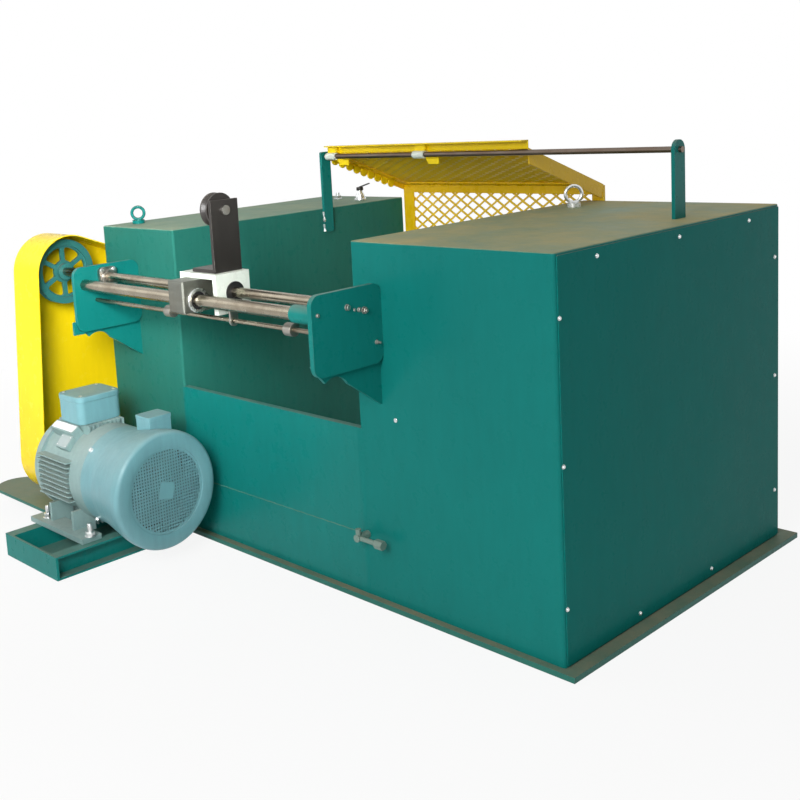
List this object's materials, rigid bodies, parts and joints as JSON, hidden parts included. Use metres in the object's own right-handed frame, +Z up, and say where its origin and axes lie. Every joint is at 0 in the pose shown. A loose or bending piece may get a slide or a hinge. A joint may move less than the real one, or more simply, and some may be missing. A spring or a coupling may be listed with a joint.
{
  "type": "wire drawing machine take-up unit",
  "caption": "Sheet-steel wire take-up housing with a spool recess, belt-driven traverse carriage, foot-mounted motor, belt guard and hinged mesh guard.",
  "frame": {"origin": "centre of the base plate's underside, on the floor", "axes": "+X along the front from the belt guard to the plain end, +Y from the front to the back, +Z up"},
  "size_m": [2.164, 1.582, 1.159],
  "materials": {
    "green_paint": "semi-gloss enamel",
    "yellow_paint": "gloss enamel",
    "motor_paint": "satin enamel on castings",
    "white_paint": "gloss enamel",
    "black_paint": "satin enamel",
    "black_steel": "oiled black steel",
    "black_bush": "moulded bush",
    "bright_steel": "ground and oiled",
    "plated_steel": "zinc plated",
    "cast_grey": "turned grooves"
  },
  "bodies": {
    "housing": {"base_plate": "green_paint", "belt_guard": "yellow_paint", "drain_cock": "bright_steel", "fan_cover": "motor_paint", "front_sill": "green_paint", "guard_shelf": "green_paint", "guide_bar": "bright_steel", "hinge_rod": "green_paint", "junction_box": "motor_paint", "left_bracket": "green_paint", "left_cabinet": "green_paint", "left_lifting_eye": "green_paint", "left_motor_rail": "green_paint", "left_post": "green_paint", "left_shaft_bearing": "green_paint", "left_stop_collar": "bright_steel", "lever_valve": "bright_steel", "motor_base_end": "green_paint", "motor_end_shield": "motor_paint", "motor_feet": "motor_paint", "motor_frame": "motor_paint", "motor_pulley": "cast_grey", "motor_shaft": "bright_steel", "right_bracket": "green_paint", "right_cabinet": "green_paint", "right_end_cover": "green_paint", "right_lifting_eye": "plated_steel", "right_motor_rail": "green_paint", "right_post": "green_paint", "right_shaft_bearing": "green_paint", "right_stop_collar": "bright_steel", "stop_rod": "bright_steel", "terminal_box": "motor_paint"},
    "traverse_shaft": {"traverse_shaft": "bright_steel", "traverse_pulley": "green_paint"},
    "carriage": {"carriage_block": "white_paint", "running_bushes": "black_bush", "slide_block": "bright_steel", "trip_fork": "bright_steel", "guide_arm": "black_paint", "roller_pin": "bright_steel"},
    "guide_roller": {"guide_roller": "black_steel"},
    "mesh_guard": {"guard_top_bar": "yellow_paint", "guard_slope": "yellow_paint", "guard_rear": "yellow_paint"}
  },
  "joints": [
    {"name": "traverse_shaft_spin", "type": "hinge", "parent": "housing", "child": "traverse_shaft", "pos_m": [0, -0.645, 0.812], "axis": [1, 0, 0], "continuous": true},
    {"name": "carriage_slide", "type": "slide", "parent": "housing", "child": "carriage", "axis": [1, 0, 0], "range_m": [-0.067, 0.205]},
    {"name": "guide_roller_spin", "type": "hinge", "parent": "carriage", "child": "guide_roller", "pos_m": [-0.101, -0.645, 1.033], "axis": [1, 0, 0], "continuous": true},
    {"name": "guard_swing", "type": "hinge", "parent": "housing", "child": "mesh_guard", "pos_m": [0, 0.123, 1.124], "axis": [1, 0, 0], "range_deg": [0, 110]}
  ]
}
